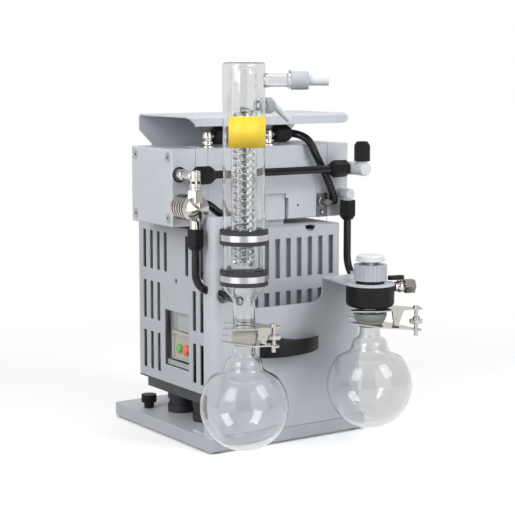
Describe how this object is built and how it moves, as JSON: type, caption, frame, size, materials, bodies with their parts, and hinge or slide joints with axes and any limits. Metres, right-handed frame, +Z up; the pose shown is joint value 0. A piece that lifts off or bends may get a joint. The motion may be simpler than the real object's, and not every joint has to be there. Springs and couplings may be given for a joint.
{
  "type": "vacuum pump",
  "caption": "Chemistry diaphragm vacuum pump on a base plate, with slotted motor housing, twin heads, glass condenser, separator and two clamped round-bottomed flasks",
  "frame": {"origin": "on the bench, under the middle of the whole unit's bounding box", "axes": "+X along the front from the condenser to the separator, +Y to the back, +Z up"},
  "size_m": [0.291, 0.3662, 0.4705],
  "materials": {
    "grey_sheet": "satin powder coat",
    "blue_grey": "satin powder coat",
    "cast_head": "satin paint on cast aluminium",
    "black_plastic": "fine grain",
    "black_rubber": "matt",
    "hose_black": "glossy",
    "nickel": "satin nickel",
    "steel": "brushed",
    "dark_steel": "brushed",
    "white_plastic": "smooth",
    "cap_grey": "smooth",
    "beige_plastic": "smooth",
    "green_button": "smooth",
    "red_button": "smooth",
    "glass": "clear",
    "cast_alu": "cast"
  },
  "bodies": {
    "pump_frame": {"base_plate": "grey_sheet", "plate_feet": "black_rubber", "front_panel": "blue_grey", "panel_grip": "black_plastic", "pump_tray": "grey_sheet", "rubber_buffers": "black_rubber", "motor_housing": "grey_sheet", "switch_block": "beige_plastic", "run_capacitor": "dark_steel", "motor_body": "cast_alu", "motor_bearings": "steel", "mains_gland": "black_plastic", "crankcase": "cast_head", "left_head": "cast_head", "right_head": "cast_head", "head_screws": "steel", "diaphragms": "white_plastic", "carry_plate": "blue_grey", "hose_nuts": "black_plastic", "nickel_elbows": "nickel", "elbow_plate": "dark_steel", "outlet_tee": "white_plastic", "right_elbow": "white_plastic", "cross_hose": "hose_black", "link_hose": "hose_black", "bypass_hose": "hose_black", "separator_hose": "hose_black", "valve_hose": "hose_black", "branch_hose": "hose_black", "valve_body": "nickel", "condenser_jacket": "glass", "condenser_core": "glass", "condenser_coil": "glass", "condenser_rings": "black_rubber", "ring_bands": "steel", "ring_brackets": "black_plastic", "condenser_caps": "cap_grey", "condenser_nozzles": "white_plastic", "left_flask": "glass", "right_flask": "glass", "left_clamp_fork": "nickel", "right_clamp_fork": "nickel", "clamp_studs": "nickel", "separator_body": "black_plastic", "separator_joint": "glass", "inlet_nozzle": "nickel"},
    "on_switch": {"on_button": "green_button"},
    "off_switch": {"off_button": "red_button"},
    "transport_lock": {"transport_screw": "black_plastic"},
    "rotor": {"drive_shaft": "steel", "cooling_fan": "black_plastic"},
    "rods": {"connecting_rods": "cast_alu"},
    "vent_cap": {"valve_cap": "nickel"},
    "separator_top": {"separator_cap": "cap_grey", "separator_lid": "white_plastic"},
    "shutoff_lever": {"inlet_lever": "black_plastic"},
    "left_jaw": {"left_clamp_jaw": "nickel"},
    "right_jaw": {"right_clamp_jaw": "nickel"},
    "left_nut": {"left_clamp_nut": "nickel"},
    "right_nut": {"right_clamp_nut": "nickel"}
  },
  "joints": [
    {"name": "on_press", "type": "slide", "parent": "pump_frame", "child": "on_switch", "axis": [1, 0, 0], "range_m": [0, 0.002], "stiffness_N_per_m": 250},
    {"name": "off_press", "type": "slide", "parent": "pump_frame", "child": "off_switch", "axis": [1, 0, 0], "range_m": [0, 0.002], "stiffness_N_per_m": 250},
    {"name": "transport_screw_turn", "type": "hinge", "parent": "pump_frame", "child": "transport_lock", "pos_m": [-0.0825, 0.1301, 0.025], "axis": [0, 0, 1], "continuous": true},
    {"name": "drive_spin", "type": "hinge", "parent": "pump_frame", "child": "rotor", "pos_m": [0.012, 0.0506, 0.2], "axis": [0, 0, 1], "continuous": true},
    {"name": "rod_stroke", "type": "slide", "parent": "pump_frame", "child": "rods", "axis": [1, 0, 0], "range_m": [-0.0015, 0.0015], "stiffness_N_per_m": 4000},
    {"name": "vent_cap_turn", "type": "hinge", "parent": "pump_frame", "child": "vent_cap", "pos_m": [-0.1125, -0.0379, 0.33], "axis": [0, 0, 1], "continuous": true},
    {"name": "separator_cap_turn", "type": "hinge", "parent": "pump_frame", "child": "separator_top", "pos_m": [0.08, -0.1306, 0.215], "axis": [0, 0, 1], "continuous": true},
    {"name": "shutoff_turn", "type": "hinge", "parent": "pump_frame", "child": "shutoff_lever", "pos_m": [0.11596, -0.14159, 0.2067], "axis": [0, 0, 1], "range_deg": [0, 90]},
    {"name": "left_jaw_open", "type": "hinge", "parent": "pump_frame", "child": "left_jaw", "pos_m": [-0.07435, -0.12598, 0.153], "axis": [-0.5592, -0.829, 0], "range_deg": [0, 6]},
    {"name": "right_jaw_open", "type": "hinge", "parent": "pump_frame", "child": "right_jaw", "pos_m": [0.10653, -0.14849, 0.1605], "axis": [-0.5592, -0.829, 0], "range_deg": [0, 6]},
    {"name": "left_nut_turn", "type": "hinge", "parent": "pump_frame", "child": "left_nut", "pos_m": [-0.0644, -0.13269, 0.14], "axis": [0, 0, 1], "continuous": true},
    {"name": "right_nut_turn", "type": "hinge", "parent": "pump_frame", "child": "right_nut", "pos_m": [0.12692, -0.16225, 0.14], "axis": [0, 0, 1], "continuous": true}
  ]
}
